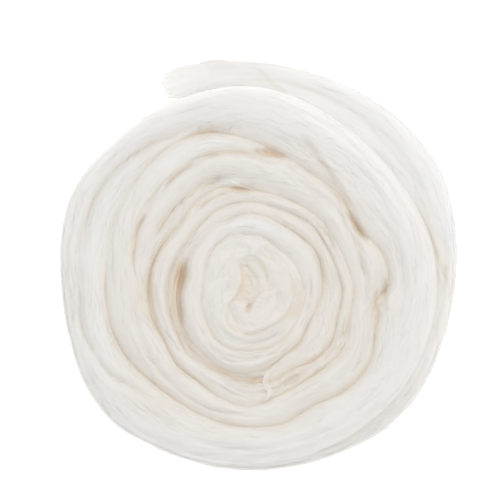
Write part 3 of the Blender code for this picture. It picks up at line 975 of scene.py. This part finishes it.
# painted warm shade over the inner turns
INNER_SHADE = 0.33
INNER_SHADE_TO = 62.0  # radius up to which the inner turns take painted shade, and over which they lose it
INNER_SHADE_OVER = 24.0
DEEPEST = 1.1  # past 1 the painted shade is full and less painted light comes through
CREASE_SHARE = 0.80  # of the painted shade, so that the creases are mild
CREASE_POWER = 0.78  # below 1: the painted shade spreads wider round each crease
HIDDEN_FROM = 2.0  # below the top surface, where the sides of the turns lose the painted shade of the creases
HIDDEN_OVER = 5.0

# Places with more painted shade than the rest, or less where the amount is negative: direction, radius, reach
# along and across the turn, amount.
SHADE_PLACES = (
    (-38, 99.5, 44.0, 4.0, 0.35),
    (-55, 93.6, 24.0, 2.0, 0.45),
    (-8, 27.5, 9.0, 4.0, 0.26),
    (-8, 67.5, 9.0, 3.0, 0.40),
    (0, 42.0, 12.0, 4.0, 0.08),
    (0, 50.0, 15.0, 4.0, 0.22),
    (13, 62.4, 7.0, 2.0, -0.18),
    (5, 103.0, 36.0, 5.0, 0.42),
    (42, 95.0, 13.0, 4.0, 0.08),
    (60, 77.5, 9.0, 3.0, 0.20),
    (68, 80.0, 26.0, 6.0, 0.12),
    (85, 6.0, 4.5, 6.5, -0.14),
    (82, 73.0, 6.5, 2.4, 0.38),
    (80, 72.6, 4.5, 1.0, 0.50),
    (88, 34.9, 14.0, 3.0, -0.24),
    (90, 33.0, 30.0, 12.0, -0.16),
    (90, 42.5, 12.0, 3.5, 0.12),
    (102, 85.5, 17.0, 3.4, 0.19),
    (106, 60.5, 8.0, 2.5, -0.26),
    (122, 89.0, 13.0, 4.0, 0.25),
    (150, 5.0, 5.0, 5.0, 0.20),
    (150, 40.0, 16.0, 8.0, -0.10),
    (167, 28.3, 8.0, 2.0, 0.10),
    (167, 35.2, 4.2, 1.6, 0.74),
    (183, 57.5, 13.0, 4.0, 0.27),
    (222, 85.0, 26.0, 8.0, 0.06),
    (228, 76.0, 24.0, 7.0, 0.34),
    (232, 11.4, 5.0, 3.0, -0.20),
    (235, 53.0, 18.0, 3.0, 0.10),
    (271, 44.5, 9.0, 2.2, -0.42),
    (270, 25.0, 8.0, 2.5, -0.10),
    (268, 51.0, 12.0, 4.0, 0.12),
    (275, 46.7, 1.8, 0.9, 0.85),
    (300, 49.0, 16.0, 7.0, 0.26),
    (300, 34.0, 28.0, 4.0, 0.17),
    (285, 42.0, 14.0, 9.0, 0.08),
    (330, 16.0, 8.0, 5.0, 0.08),
    (330, 58.0, 14.0, 4.0, 0.24),
)


def surface_tree(pieces):
    points, faces = [], []
    for piece in pieces:
        start = len(points)
        points += [tuple(vertex.co) for vertex in piece.data.vertices]
        faces += [[start + k for k in face.vertices] for face in piece.data.polygons]
    return BVHTree.FromPolygons(points, faces)


def top_heights(x, y):
    """Height of the wool's top surface at each place, 0 where there is only the floor."""
    down = Vector((0, 0, -1))
    heights = np.zeros(x.size)
    for k, (px, py) in enumerate(zip(x.ravel() * MM, y.ravel() * MM)):
        hit = TREE.ray_cast(Vector((px, py, MAP_TOP * MM)), down)[0]
        if hit:
            heights[k] = hit.z / MM
    return heights.reshape(x.shape)


def groove_map(heights):
    """From 0 on open slopes and crests to 1 deep between two rises."""
    total = np.zeros(heights.shape)
    for k in range(LOOK_ROUND):
        angle = math.pi * k / LOOK_ROUND
        lower = np.minimum(steepest_rise(heights, angle, 1), steepest_rise(heights, angle, -1))
        total += lower**2 / (1 + lower**2)
    narrow = np.clip(GROOVE_GAIN * total / LOOK_ROUND, 0, 1)
    return sum(share * blurred(narrow, reach) for reach, share in GROOVE_SHARES)


def steepest_rise(heights, angle, way):
    rise = np.zeros(heights.shape)
    for distance in LOOK_DISTANCES:
        across = round(way * distance * math.cos(angle) / MAP_STEP)
        up = round(way * distance * math.sin(angle) / MAP_STEP)
        if across or up:
            higher = np.roll(heights, (-up, -across), (0, 1)) - heights
            rise = np.maximum(rise, higher / (MAP_STEP * math.hypot(across, up)))
    return rise


def blurred(values, reach):
    weights = np.hanning(2 * reach + 3)[1:-1]
    weights = weights / weights.sum()
    for axis in (0, 1):
        values = sum(w * np.roll(values, k - reach, axis) for k, w in enumerate(weights))
    return values


def map_reading(values, x, y):
    a = np.clip((x + MAP_REACH) / MAP_STEP, 0, values.shape[1] - 1.001)
    b = np.clip((y + MAP_REACH) / MAP_STEP, 0, values.shape[0] - 1.001)
    i, j = a.astype(int), b.astype(int)
    a, b = a - i, b - j
    low = values[j, i] * (1 - a) + values[j, i + 1] * a
    high = values[j + 1, i] * (1 - a) + values[j + 1, i + 1] * a
    return low * (1 - b) + high * b


def lip_shades(x, y):
    """Soft shade under the edge of each layer that lies over its neighbour."""
    shade = np.zeros(x.shape)
    for rise, _, line in [lip for name in LIPS for lip in turn_lips(name)] + heart_lips():
        (x0, y0), (x1, y1) = np.min(line, 0) - SHADE_MARGIN, np.max(line, 0) + SHADE_MARGIN
        near = (x > x0) & (x < x1) & (y > y0) & (y < y1)
        away, where, side = distance_along(x[near], y[near], line)
        spread = np.where(side < 0, np.exp(-away / SHADE_REACH), np.exp(-((away / SHADE_EDGE) ** 2)))
        shade[near] = np.maximum(shade[near], LIP_SHADE * rise * faded_ends(where) * spread)
    return shade


def painted_shade_at(x, y):
    """Painted shade at each place: from its groove depth, with more over the inner turns and at the listed
    places.
    """
    x0, y0 = x - WINDING_CENTRE[0], y - WINDING_CENTRE[1]
    inner = INNER_SHADE * soft_step((INNER_SHADE_TO + INNER_SHADE_OVER - np.hypot(x0, y0)) / INNER_SHADE_OVER)
    return np.maximum(map_reading(GROOVES, x, y) + inner + hollow_pressing(x0, y0, SHADE_PLACES), 0.0)


TREE = surface_tree([*turns, tongue])
axis = np.arange(-MAP_REACH, MAP_REACH + MAP_STEP, MAP_STEP)
MAP_X, MAP_Y = np.meshgrid(axis, axis)
HEIGHTS = top_heights(MAP_X, MAP_Y)
GROOVES = groove_map(HEIGHTS) + lip_shades(MAP_X - WINDING_CENTRE[0], MAP_Y - WINDING_CENTRE[1])
for piece in [*turns, tongue]:
    x, y, z = vertex_places(piece) / MM
    hidden = soft_step((map_reading(HEIGHTS, x, y) - z - HIDDEN_FROM) / HIDDEN_OVER)
    # painted crease shade for each point, less where it is hidden under the top surface
    shade_tone = CREASE_SHARE * np.clip(painted_shade_at(x, y), 0, DEEPEST) ** CREASE_POWER
    give_attribute(piece.data, "crease_shade", "FLOAT", shade_tone * (1 - hidden))

# Fibres and wisps: each kind is one closed spindle, copied along its paths into one joined piece.
EVERY_DEGREE = np.arange(FULL_TURN + 1)
EDGE_TABLE = np.stack([edge_radius(edge, EVERY_DEGREE) for edge in EDGES] + [0.0 * EVERY_DEGREE], 1)


def unit(vectors):
    return vectors / (np.linalg.norm(vectors, axis=2, keepdims=True) + 1e-9)


def copied_along(name, paths, width, thickness, sides, shade_share, through=0.02, even_ends=True):
    """One spindle copied along every path (count, rows, 3) in millimetres, as one joined piece.

    The pair of shares says how much of the painted crease shade the piece takes, and how much painted shade
    it has of its own.
    """
    count, rows = paths.shape[:2]
    thing, row, side = start_spindle(name, rows - 1, sides)
    along = np.linspace(0, 1, rows)
    if even_ends:
        taper = np.sqrt(np.clip(np.minimum(along, 1 - along) * 8, 0, 1))
    else:
        taper = np.sin(math.pi * along) ** 0.6
    taper[0] = taper[-1] = 0.0
    ahead = unit(np.gradient(paths, axis=1))
    across = unit(np.cross(ahead, [0.0, 0.0, 1.0]))
    upward = np.cross(across, ahead)
    angle = side / sides * 2 * math.pi
    reach = (taper[row] * np.cos(angle))[None, :, None] * width[:, None, None]
    rise = (taper[row] * np.sin(angle))[None, :, None] * thickness[:, None, None]
    points = paths[:, row] + across[:, row] * reach + upward[:, row] * rise
    points[..., 2] = np.maximum(points[..., 2], FLOOR_GAP)
    faces = [tuple(face.vertices) for face in thing.data.polygons]
    joined = bpy.data.meshes.new(name)
    joined.from_pydata(
        (points.reshape(-1, 3) * MM).tolist(),
        [],
        [[copy * len(row) + k for k in face] for copy in range(count) for face in faces],
    )
    thing.data = joined
    thing.name = joined.name = name
    number = (np.arange(count) * 3.7)[:, None] + 0 * row
    step = np.linalg.norm(np.diff(paths, axis=1), axis=2)
    length = np.concatenate([np.zeros((count, 1)), np.cumsum(step, 1)], 1)[:, row]
    flow = np.stack([number, 0.05 * length, number * 0.3 + 0.4 * angle[None, :]], -1)
    give_attribute(joined, "flow", "FLOAT_VECTOR", flow)
    x, y = points[..., 0].ravel(), points[..., 1].ravel()
    give_attribute(joined, "crease_shade", "FLOAT", np.clip(painted_shade_at(x, y) * shade_share[0] + shade_share[1], 0, 1))
    give_attribute(joined, "through", "FLOAT", np.full(x.shape, through))
    finish_mesh(thing)
    finish_piece(thing, None, LOOSE_WOOL)


def edges_at(direction):
    """Radii of all the edges at each direction, from the outermost to 0 at the centre."""
    place = np.mod(direction, FULL_TURN)
    low = place.astype(int)
    part = (place - low)[..., None]
    return EDGE_TABLE[low] * (1 - part) + EDGE_TABLE[low + 1] * part


def with_the_turns(direction, radius, length, turn_aside, rows):
    """Paths that run with the turns from each start, drifting aside by an angle on the way."""
    counts = np.arange(len(EDGES) + 1)
    level = np.array([np.interp(-r, -row, counts) for r, row in zip(radius, edges_at(direction))])
    along = np.linspace(-0.5, 0.5, rows)[None, :]
    travel = along * length[:, None]
    lean = np.radians(turn_aside)[:, None]
    angle = direction[:, None] + np.degrees(np.cos(lean) * travel / np.maximum(radius, 4.0)[:, None])
    wave = 0.35 * np.sin(along * 9 + rng.uniform(0, 6.3, (len(direction), 1)))
    k = np.clip(level.astype(int), 0, len(EDGES) - 1)
    edges = edges_at(angle)
    every = np.arange(len(k))
    outer, inner = edges[every, :, k], edges[every, :, k + 1]
    r = outer + (inner - outer) * (level - k)[:, None] + np.sin(lean) * travel + wave
    x, y = flat_place(np.maximum(r, 0.5), angle)
    return x + WINDING_CENTRE[0], y + WINDING_CENTRE[1]


def laid(x, y, lift):
    """Paths laid on the wool, bridging what is narrow, with a lift over their length."""
    z = top_heights(x, y)
    for _ in range(3):
        bridge = z.copy()
        bridge[:, 1:-1] = (z[:, :-2] + z[:, 2:]) / 2
        z = np.maximum(z, bridge)
    return np.stack([x, y, np.maximum(z, FLOOR_GAP) + lift], -1)


def random_starts(count, least, most, share):
    """Directions and radii spread evenly over the ring between two radii, within a share of the outline."""
    radius = np.sqrt(rng.uniform(least**2, most**2, count))
    direction = rng.uniform(0, FULL_TURN, count)
    outline = np.interp(direction, EVERY_DEGREE, EDGE_TABLE[:, 0])
    return direction, np.minimum(radius, share * outline)


FIBRE = 0.05  # radius of a fibre
FIBRE_ROWS = 11
SHORT_FIBRE_ROWS = 9
FIBRE_SIDES = 3


def build_lying_fibres(count=1500):
    direction, radius = random_starts(count, 2.0, 116.0, 0.985)
    length = rng.uniform(9, 26, count) * np.clip(radius / 30, 0.35, 1)
    aside = rng.normal(0, 7.0, count)
    x, y = with_the_turns(direction, radius, length, aside, FIBRE_ROWS)
    size = FIBRE * rng.uniform(0.7, 1.3, count)
    copied_along("lying_fibres", laid(x, y, FIBRE * 0.6), size, size, FIBRE_SIDES, (0.8, 0.0))


def build_flyaway_fibres(count=1100):
    direction, radius = random_starts(count, 4.0, 112.0, 0.95)
    length = rng.uniform(4, 12, count)
    aside = rng.normal(0, 28.0, count).clip(-75, 75)
    x, y = with_the_turns(direction, radius, length, aside, SHORT_FIBRE_ROWS)
    along = np.linspace(0, 1, SHORT_FIBRE_ROWS)[None, :]
    height = rng.exponential(0.5, (count, 1)).clip(0.1, 2.0)
    lift = height * np.where(rng.random((count, 1)) < 0.5, np.sin(math.pi * along), along**1.5)
    size = 0.8 * FIBRE * rng.uniform(0.7, 1.2, count)
    copied_along("flyaway_fibres", laid(x, y, lift), size, size, FIBRE_SIDES, (0.8, 0.0))


def read_surface(name, step, point):
    """Places on a piece's surface at fractional rows and section points, and the outward normals there."""
    places = SURFACES[name]
    rows, points = places.shape[:2]
    normal = unit(np.cross(np.roll(places, -1, 1) - np.roll(places, 1, 1), np.gradient(places, axis=0)))
    i, j = np.floor(step).astype(int), np.floor(point).astype(int)
    a, b = (step - i)[..., None], (point - j)[..., None]
    i0, i1 = np.clip(i, 0, rows - 1), np.clip(i + 1, 0, rows - 1)
    j0, j1 = j % points, (j + 1) % points

    def at(grid):
        low = grid[i0, j0] * (1 - b) + grid[i0, j1] * b
        high = grid[i1, j0] * (1 - b) + grid[i1, j1] * b
        return low * (1 - a) + high * a

    return at(places), at(normal)


def build_edge_fibres(piece, count, first, last):
    """Loose fibres that stand off the outer side of a turn, most of them close to it."""
    rows = len(SURFACES[piece])
    spacing = 2 * math.pi * 100 / rows
    along = np.linspace(0, 1, FIBRE_ROWS - 1)[None, :]
    step = rng.uniform(first, last, (count, 1)) * rows
    length = rng.uniform(5, 16, (count, 1))
    point = rng.normal(1.0, 5.5, (count, 1)).clip(-9, 16)
    sway = rng.normal(0, 2.2, (count, 1)) * along + 0.8 * np.sin(along * 7 + rng.uniform(0, 6.3, (count, 1)))
    places, normal = read_surface(piece, step + length / spacing * along, point + sway)
    height = rng.exponential(0.75, (count, 1)).clip(0.15, 2.8)
    rise = np.where(rng.random((count, 1)) < 0.6, np.sin(math.pi * along) ** 0.8, along**1.3)
    paths = places + normal * (height * rise)[..., None]
    size = 1.3 * FIBRE * rng.uniform(0.6, 1.2, count)
    copied_along("edge_fibres_" + piece, paths, size, size, FIBRE_SIDES, (0.0, 0.0), 0.18)


def build_crease_fibres(count=420):
    """Fibres that cross the narrow hollows between the turns."""
    narrow = np.array([hollow[:4] for hollow in HOLLOWS if hollow[3] < 3])
    direction, radius, along, across = narrow[rng.integers(0, len(narrow), count)].T
    direction = direction + np.degrees(rng.normal(0, 0.8, count) * along / radius)
    radius = radius + rng.normal(0, 0.9, count) * across
    length = rng.uniform(4, 11, count)
    aside = rng.normal(0, 38.0, count).clip(-80, 80)
    x, y = with_the_turns(direction, radius, length, aside, SHORT_FIBRE_ROWS)
    size = FIBRE * rng.uniform(0.7, 1.2, count)
    # crease fibres take most of the painted crease shade, and painted shade of their own
    copied_along("crease_fibres", laid(x, y, 0.1), size, size, FIBRE_SIDES, (0.9, 0.25), 0.08)


def build_end_fibres(count=420):
    """The loose end's fibres, fanning out past the tongue and fading to nothing on the floor."""
    start = rng.uniform(104.0, 111.0, (count, 1))
    side = rng.uniform(-1, 1, (count, 1))
    along = np.linspace(0, 1, FIBRE_ROWS)[None, :]
    length = rng.uniform(6, 15, (count, 1)) * (1 - 0.35 * np.abs(side))
    direction = start + np.degrees(length / 115) * along
    spread = 1 + 0.25 * soft_step((direction - 104) / 10)
    radius = 115.2 + 7.6 * side * spread + rng.normal(0, 0.9, (count, 1)) * along
    radius = radius + 0.5 * np.sin(along * 8 + rng.uniform(0, 6.3, (count, 1)))
    x, y = flat_place(radius, direction)
    paths = laid(x + WINDING_CENTRE[0], y + WINDING_CENTRE[1], 0.1 * rng.random((count, 1)))
    size = FIBRE * rng.uniform(0.5, 1.0, count)
    copied_along("end_fibres", paths, size, size, FIBRE_SIDES, (0.0, 0.0), 0.22)


# Wisps that lie over the turns: half width, thickness, path of directions and radii.
WISPS = (
    (1.9, 0.35, ((292, 40.0), (288, 42.5), (283.5, 44.4), (281, 48.7), (282.3, 53.7), (278.3, 57.8))),
    (1.1, 0.35, ((118, 59.0), (108, 60.8), (100, 59.0), (93, 55.5), (86, 53.0))),
    (0.9, 0.35, ((240, 37.5), (256, 38.2), (270, 37.2), (288, 36.2), (302, 36.4))),
    (0.9, 0.35, ((225, 46.0), (240, 47.5), (255, 50.0), (268, 54.0), (280, 57.0))),
    (1.0, 0.35, ((150, 39.5), (165, 37.8), (180, 38.5), (195, 39.0), (212, 41.0))),
)
WISP_ROWS = 61
WISP_SIDES = 12


def build_wisps():
    paths = []
    for _, _, path in WISPS:
        line = np.array(smooth_path([flat_place(radius, direction) for direction, radius in path], 0.2))
        place = np.linspace(0, len(line) - 1, WISP_ROWS)
        paths.append([np.interp(place, np.arange(len(line)), column) for column in line.T])
    x, y = np.moveaxis(np.array(paths), 1, 0)
    half_width, thickness = np.array([row[:2] for row in WISPS]).T
    lying = laid(x + WINDING_CENTRE[0], y + WINDING_CENTRE[1], 0.0)
    for _ in range(6):
        lying[:, 1:-1, 2] = (lying[:, :-2, 2] + 2 * lying[:, 1:-1, 2] + lying[:, 2:, 2]) / 4
    copied_along("wisps", lying, half_width, thickness, WISP_SIDES, (0.75, 0.0), 0.0, even_ends=False)


build_wisps()
build_lying_fibres()
build_flyaway_fibres()
build_edge_fibres("last_turn", 1900, 0.0, 0.9)
build_edge_fibres("wide_turn", 1500, 0.27, 0.66)
build_crease_fibres()
build_end_fibres()

# Floor, light and camera.
VIEW_MIDDLE = (-4.46, 7.84)
VIEW_WIDTH = 260.0
VIEW_HEIGHT = 2600.0
SENSOR = 36.0
COIL_HEIGHT = 33.0
FLOOR_GLOW_SEEN = 0.8
FLOOR_GLOW_CAST = 0.3
ROOM_LIGHT = 0.80
WINDOW_PLACE = (0.45, 0.80, 1.0)  # metres
WINDOW_SIZE = 0.9
WINDOW_POWER = 2.9


def build_floor():
    free_selection()
    bpy.ops.mesh.primitive_plane_add(size=8.0, location=(0, 0, 0))
    floor = bpy.context.object
    floor.name = floor.data.name = "floor"
    white = bpy.data.materials.new("pale_floor")
    white.use_nodes = True
    nodes, links = white.node_tree.nodes, white.node_tree.links
    shader = nodes["Principled BSDF"]
    shader.inputs["Base Color"].default_value = (0.94, 0.94, 0.94, 1)
    shader.inputs["Roughness"].default_value = 0.9
    shader.inputs["Emission Color"].default_value = (1, 1, 1, 1)
    # the floor reads white without throwing all of that light up under the wool
    seen = nodes.new("ShaderNodeLightPath")
    glow = nodes.new("ShaderNodeMapRange")
    glow.inputs["To Min"].default_value = FLOOR_GLOW_CAST
    glow.inputs["To Max"].default_value = FLOOR_GLOW_SEEN
    links.new(seen.outputs["Is Camera Ray"], glow.inputs["Value"])
    links.new(glow.outputs["Result"], shader.inputs["Emission Strength"])
    floor.data.materials.append(white)
    floor.select_set(False)


def light_room():
    world = bpy.data.worlds.new("soft_room")
    world.use_nodes = True
    sky = world.node_tree.nodes["Background"]
    sky.inputs["Color"].default_value = (1.0, 1.0, 1.0, 1)
    sky.inputs["Strength"].default_value = ROOM_LIGHT
    light = bpy.data.lights.new("window", "AREA")
    light.shape = "DISK"
    light.size = WINDOW_SIZE
    light.energy = WINDOW_POWER
    window = bpy.data.objects.new("window", light)
    window.location = WINDOW_PLACE
    window.rotation_euler = (-Vector(WINDOW_PLACE)).to_track_quat("-Z", "Y").to_euler()
    scene = bpy.context.scene
    scene.collection.objects.link(window)
    scene.world = world
    scene.view_settings.view_transform = "Standard"


def set_camera():
    camera = bpy.data.cameras.new("camera")
    camera.sensor_width = SENSOR
    camera.lens = SENSOR * (VIEW_HEIGHT - COIL_HEIGHT) / VIEW_WIDTH
    camera.clip_start, camera.clip_end = 0.1, 20
    eye = bpy.data.objects.new("camera", camera)
    eye.location = (VIEW_MIDDLE[0] * MM, VIEW_MIDDLE[1] * MM, VIEW_HEIGHT * MM)
    bpy.context.scene.collection.objects.link(eye)
    bpy.context.scene.camera = eye


build_floor()
light_room()
set_camera()
